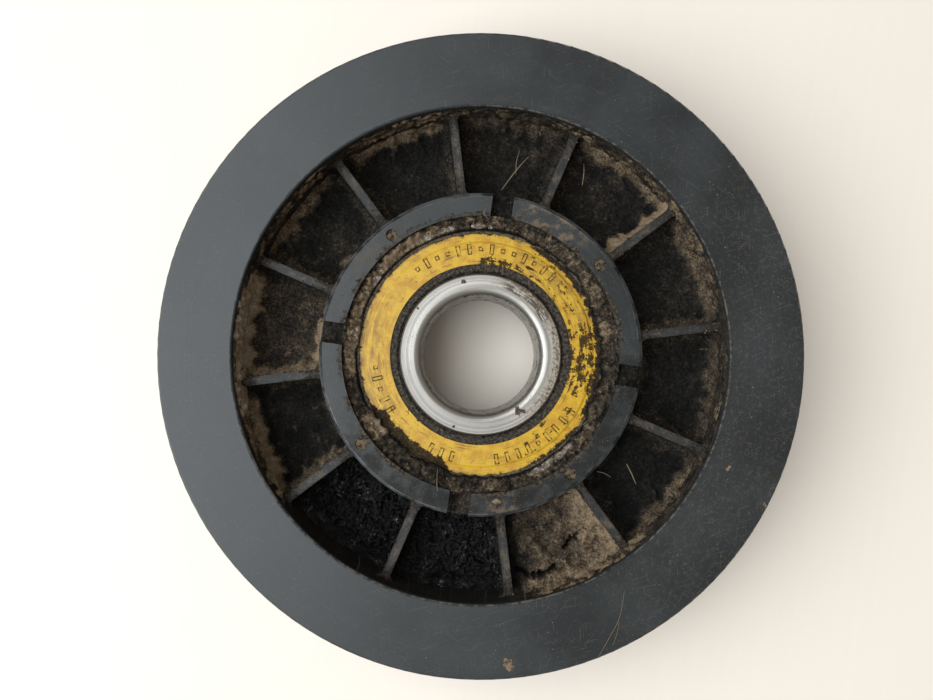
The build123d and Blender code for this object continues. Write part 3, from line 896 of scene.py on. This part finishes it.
def add_seam_dirt(side, material):
    """Dirt caked in the ring between the hub's lip and the seal."""
    turn = 0 if side > 0 else SEAM_BACK_TURN

    def shape(out, round_share):
        angle = 360 * round_share
        ragged = 1 + 0.6 * rough(polar(17, angle, 5), 1.1, 4, SEED)
        inner = SEAL_EDGE_R - 0.05 - angular(angle + turn, SEAM_LAP) * ragged
        radius = inner + out * (LIP_R - inner + EMBED)
        place = polar(radius, angle, 0)
        lumps = rough(place, 0.7, 5, SEED + 80 * side)
        bare = angular(angle + turn, SEAM_BRIGHT)
        depth = 0.65 * smooth(out, 0.1, 0.8) + 0.32 + 0.32 * lumps
        near_bare = 1 - smooth(abs(out - 0.3) + 0.25 * lumps, 0.04, 0.3)
        depth -= bare * 1.05 * near_bare
        if out < 0.12 or bare < 0.1:
            depth = max(depth, 0.17)
        tan = angular(angle + turn, SEAM_TAN) * (1 - smooth(out, 0.55, 0.95))
        tone = 0.46 + 0.48 * tan + 0.22 * lumps + 0.15 * rough(place, 3, 2, SEED)
        tone -= 0.4 * (1 - smooth(out, 0.0, 0.2))
        tone += 0.5 * bare * near_bare
        low = FACE_Z - EMBED if radius > SEAL_EDGE_R else BORDER_Z - 0.05
        top = FACE_Z + min(LIP_Z - FACE_Z - 0.2, max(-0.08, depth - 0.12))
        return polar(radius, angle, side * top), polar(radius, angle, side * low), tone, 0.0

    name = f"{facing(side)}_seam_dirt"
    return add_crust(name, 16, 760, lambda u, v: shape(1 - u, v), material, wrap=True)


NOTCH_TONES = (0.18, 0.1, 0.28, 0.36)


def add_notch_dirt(index, side, material):
    """Muck packed into one notch of the hub's lip."""
    centre = 360 / NOTCH_COUNT * index
    seed = SEED + 13 * index + side

    def shape(across, out):
        radius = LIP_R - 0.05 + out * (HUB_R - LIP_R - 0.1)
        offset = (across - 0.5) * (NOTCH_WIDTH + 2 * EMBED)
        turn = centre + math.degrees(offset / radius)
        place = polar(radius, turn, 0)
        lumps = rough(place, 0.9, 4, seed)
        banks = 0.5 * math.exp(-((NOTCH_WIDTH / 2 - abs(offset)) / 0.5) ** 2)
        height = 0.3 + banks + 0.25 * lumps
        top = FACE_Z + min(1.2, max(0.03, height))
        bottom = polar(radius, turn, side * (FACE_Z - EMBED))
        return polar(radius, turn, side * top), bottom, NOTCH_TONES[index] + 0.15 * lumps, 0.0

    return add_crust(f"{facing(side)}_notch_dirt_{index + 1}", 22, 22, shape, material)


# Smears on flat faces: name, radius, angle, radial and sideways half sizes, height of the face, thickness and
# tone
SMEARS = (
    ("lip_clod", 20.7, 284.5, 0.4, 0.5, LIP_Z, 0.12, 0.8),
    ("rim_clod_1", 42.4, 283.3, 0.75, 0.7, RIM_Z, 0.13, 0.8),
    ("rim_clod_2", 37.2, 343.6, 0.35, 0.35, RIM_Z, 0.22, 0.9),
    ("rim_clod_3", 43.9, 340.4, 0.25, 0.45, RIM_Z, 0.22, 0.9),
)


def add_smear(name, radius, angle, tall, wide, z, thick, tone, material):
    """A ragged dab of dirt on a face that looks towards the front."""
    middle = polar(radius, angle, z)
    outward = polar(1, angle, 0)
    sideways = polar(1, angle + 90, 0)

    def shape(across, out):
        place = middle + outward * tall * 1.3 * (2 * out - 1) + sideways * wide * 1.3 * (2 * across - 1)
        edge = math.hypot(2 * out - 1, 2 * across - 1) * 1.3
        lumps = rough(place, 0.7, 5, SEED + angle)
        height = thick * (smooth(1 - edge + 0.6 * lumps, -0.1, 0.5) * (0.6 + lumps) - 0.15)
        top = place + Vector((0, 0, max(-0.03, height)))
        return top, place - Vector((0, 0, 0.06)), tone + 0.2 * lumps, 0.0

    return add_crust(name, 26, 26, shape, material)


# ---- straw, hair and crumbs ----
def add_strand(name, path, thickness, material, sides=6):
    """A thin tapered strand on a smooth curve through places given as (radius, angle, height)."""
    places = [polar(*point) for point in path]
    vertices, faces = [], []
    steps = 6 * (len(places) - 1)
    centres = []
    for step in range(steps + 1):
        share = step / steps * (len(places) - 1)
        index = min(int(share), len(places) - 2)
        before = places[max(index - 1, 0)]
        after = places[min(index + 2, len(places) - 1)]
        a, b, t = places[index], places[index + 1], share - index
        centres.append(0.5 * (2 * a + (b - before) * t + (2 * before - 5 * a + 4 * b - after) * t * t
                              + (3 * a - before - 3 * b + after) * t ** 3))
    for index, centre in enumerate(centres):
        ahead = centres[min(index + 1, steps)] - centres[max(index - 1, 0)]
        across = ahead.cross(Vector((0, 0, 1))).normalized()
        above = across.cross(ahead).normalized()
        size = thickness * (0.45 + 0.55 * math.sin(math.pi * (0.12 + 0.76 * index / steps)))
        for side in range(sides):
            turn = 2 * math.pi * side / sides
            vertices.append(centre + across * size * math.cos(turn) + above * 0.6 * size * math.sin(turn))
    for index in range(steps):
        for side in range(sides):
            a, b = index * sides + side, index * sides + (side + 1) % sides
            faces.append((a, b, b + sides, a + sides))
    faces.append(tuple(reversed(range(sides))))
    faces.append(tuple(range(steps * sides, (steps + 1) * sides)))
    return add_piece(name, vertices, faces, material)


STRANDS = (
    ("rim_hair", 0.032, ((44.2, 299.4, RIM_Z + 0.15), (42.3, 302.6, RIM_Z + 0.2), (40.5, 306.0, RIM_Z + 0.1),
                        (37.7, 309.5, RIM_Z + 0.07))),
    ("rim_hair_tip", 0.024, ((40.9, 305.6, RIM_Z + 0.13), (42.2, 304.3, RIM_Z + 0.16),
                             (43.5, 302.6, RIM_Z + 0.08))),
    ("pocket_straw_1", 0.08, ((29.5, 328.6, 2.5), (28.1, 330.0, 2.9), (26.6, 331.6, 2.6))),
    ("pocket_straw_2", 0.06, ((26.2, 325.2, 2.4), (25.0, 324.6, 2.7), (24.0, 323.2, 2.5))),
    ("pocket_grass_1", 0.065, ((29.9, 84.4, 2.9), (28.2, 86.2, 3.6), (26.1, 88.6, 3.3), (24.2, 91.0, 2.8))),
    ("pocket_grass_2", 0.045, ((30.6, 87.3, 2.6), (28.6, 87.6, 3.2), (26.8, 87.0, 2.8))),
    ("pocket_grass_3", 0.06, ((31.6, 69.8, 3.6), (30.2, 68.6, 4.4), (28.6, 67.2, 4.0))),
    ("seam_hair_1", 0.045, ((20.0, 260.8, LIP_Z + 0.1), (18.9, 259.4, LIP_Z + 0.05),
                            (17.2, 257.6, FACE_Z + 0.1))),
    ("seam_hair_2", 0.04, ((20.4, 96.2, LIP_Z + 0.1), (19.6, 97.0, LIP_Z + 0.1), (19.0, 94.8, LIP_Z - 0.3))),
)


def add_fibres(name, reach, count, material):
    """Short bent fibres on the right half; reach is the two radii they lie between and their height."""
    dice = random.Random(len(name) + count)
    low, high, height = reach
    for number in range(count):
        radius = low + (high - low) * dice.random()
        angle = dice.gauss(35, 38)
        swing = math.degrees(dice.uniform(-1.0, 1.0) / radius)
        rise = dice.uniform(-0.7, 0.7)
        path = ((radius, angle, height), (radius + 0.5 * rise, angle + swing * 0.7, height + 0.3),
                (radius + rise, angle + swing, height + 0.1))
        add_strand(f"{name}_{number + 1}", path, 0.03, material, 5)


# A crumb's corners before it is stretched: five round its middle, its top and its bottom
CRUMB_CORNERS = ((1, 0, 0), (0.3, 0.95, 0), (-0.8, 0.6, 0), (-0.8, -0.6, 0), (0.3, -0.95, 0),
                 (0, 0, 0.8), (0, 0, -0.8))
CRUMB_COUNT = 420


def add_crumbs(name, spread, sizes, seed, material):
    """Loose crumbs joined in one piece: spread(dice) gives each one's place and tone."""
    dice = random.Random(seed)
    vertices, faces, tones = [], [], []
    for _ in range(CRUMB_COUNT):
        place, tone = spread(dice)
        size = sizes[0] + (sizes[1] - sizes[0]) * dice.random() ** 2.5
        stretch = Vector([0.6 + 0.8 * dice.random() for _ in range(3)]) * size
        turn = dice.random() * math.pi
        start = len(vertices)
        for x, y, z in CRUMB_CORNERS:
            x, y, z = (value * (0.75 + 0.5 * dice.random()) for value in (x, y, z))
            x, y, z = x * stretch.x, y * stretch.y, z * stretch.z
            vertices.append(place + Vector((x * math.cos(turn) - y * math.sin(turn),
                                            x * math.sin(turn) + y * math.cos(turn), z)))
        for side in range(5):
            after = (side + 1) % 5
            faces.append((start + side, start + after, start + 5))
            faces.append((start + after, start + side, start + 6))
        tones += [tone + 0.25 * (dice.random() - 0.5)] * len(CRUMB_CORNERS)
    return add_piece(name, vertices, faces, material, tone=tones, shine=[0.0] * len(tones))


def rim_crumbs(dice):
    """Mostly on the right of the rim's face, where the dust lies thickest."""
    angle = dice.gauss(352, 34) if dice.random() < 0.75 else 360 * dice.random()
    radius = RIM_WALL_R + 0.9 + (FLANGE_R - RIM_WALL_R - 1.4) * dice.random()
    return polar(radius, angle, RIM_Z), 1.1


def lip_crumbs(dice):
    angle = 360 * dice.random()
    return polar(LIP_R + 0.1 + 2.6 * dice.random(), angle, LIP_Z + 0.02), 0.9


def seam_crumbs(dice):
    radius = SEAL_EDGE_R + 1.6 * dice.random()
    angle = 360 * dice.random()
    return polar(radius, angle, FACE_Z + 0.35 + 0.6 * dice.random()), 0.6


def rib_crumbs(dice):
    """Mostly near the ends of the ribs."""
    rib = dice.randrange(BAY_COUNT) + 0.5
    near_end = 0.5 - 0.5 * abs(dice.gauss(0, 0.35))
    share = near_end if dice.random() < 0.5 else 1 - near_end
    radius = HUB_R + (RIM_WALL_R - HUB_R) * min(1, max(0, (share + 0.5) % 1))
    sideways = (dice.random() - 0.5) * RIB_THICKNESS * 1.2
    return polar(radius, rib * BAY_ANGLE + math.degrees(sideways / radius), RIB_Z + 0.02), 0.65


# ---- the whole scene ----
def add_floor(material):
    """A pale table top under the wheel."""
    half = 700
    low = -RIM_Z - 0.02
    mesh = bpy.data.meshes.new("table_top")
    corners = [(-half, -half, low), (half, -half, low), (half, half, low), (-half, half, low)]
    mesh.from_pydata([Vector(corner) * MM for corner in corners], [], [(0, 1, 2, 3)])
    mesh.materials.append(material)
    table = bpy.data.objects.new("table_top", mesh)
    bpy.context.scene.collection.objects.link(table)


def dress(material, *names):
    for name in names:
        mesh = nodes[name].data
        mesh.materials.clear()
        mesh.materials.append(material)


nylon = nylon_material()
soil = soil_material()
straw = straw_material()
dress(nylon, "pulley_body")
dress(steel_material("outer_ring_steel", film=0.62), "bearing_outer_ring")
dress(steel_material("inner_ring_steel", inner_ring=True), "bearing_inner_ring")
dress(steel_material("ball_steel"), *[f"ball_{number + 1}" for number in range(BALL_COUNT)])
dress(steel_material("cage_steel"), "cage_front_half", "cage_back_half", "cage_rivets")
dress(rubber_material(), "front_seal_rubber", "back_seal_rubber")
dress(shroud_material(), "front_seal_shroud", "back_seal_shroud")

for index in range(BAY_COUNT):
    add_pocket_dirt(index, 1, FRONT_POCKETS[index], soil)
    add_pocket_dirt(index, -1, BACK_POCKETS[index], soil)
for side in (1, -1):
    add_rim_wall_dirt(side, soil)
    add_seam_dirt(side, soil)
    for index in range(NOTCH_COUNT):
        add_notch_dirt(index, side, soil)
for smear in SMEARS:
    add_smear(*smear, soil)
for name, thickness, path in STRANDS:
    add_strand(name, path, thickness, straw)
add_fibres("seam_fibres", (17.4, 19.6, FACE_Z + 0.75), 16, straw)
add_fibres("wall_fibres", (31.0, 33.4, RIB_Z + 0.3), 12, straw)
add_crumbs("rim_crumbs", rim_crumbs, (0.02, 0.09), SEED, soil)
add_crumbs("lip_crumbs", lip_crumbs, (0.02, 0.08), SEED + 1, soil)
add_crumbs("seam_crumbs", seam_crumbs, (0.04, 0.2), SEED + 2, soil)
add_crumbs("rib_crumbs", rib_crumbs, (0.03, 0.16), SEED + 3, soil)

add_floor(floor_material())
add_camera()
add_lights()
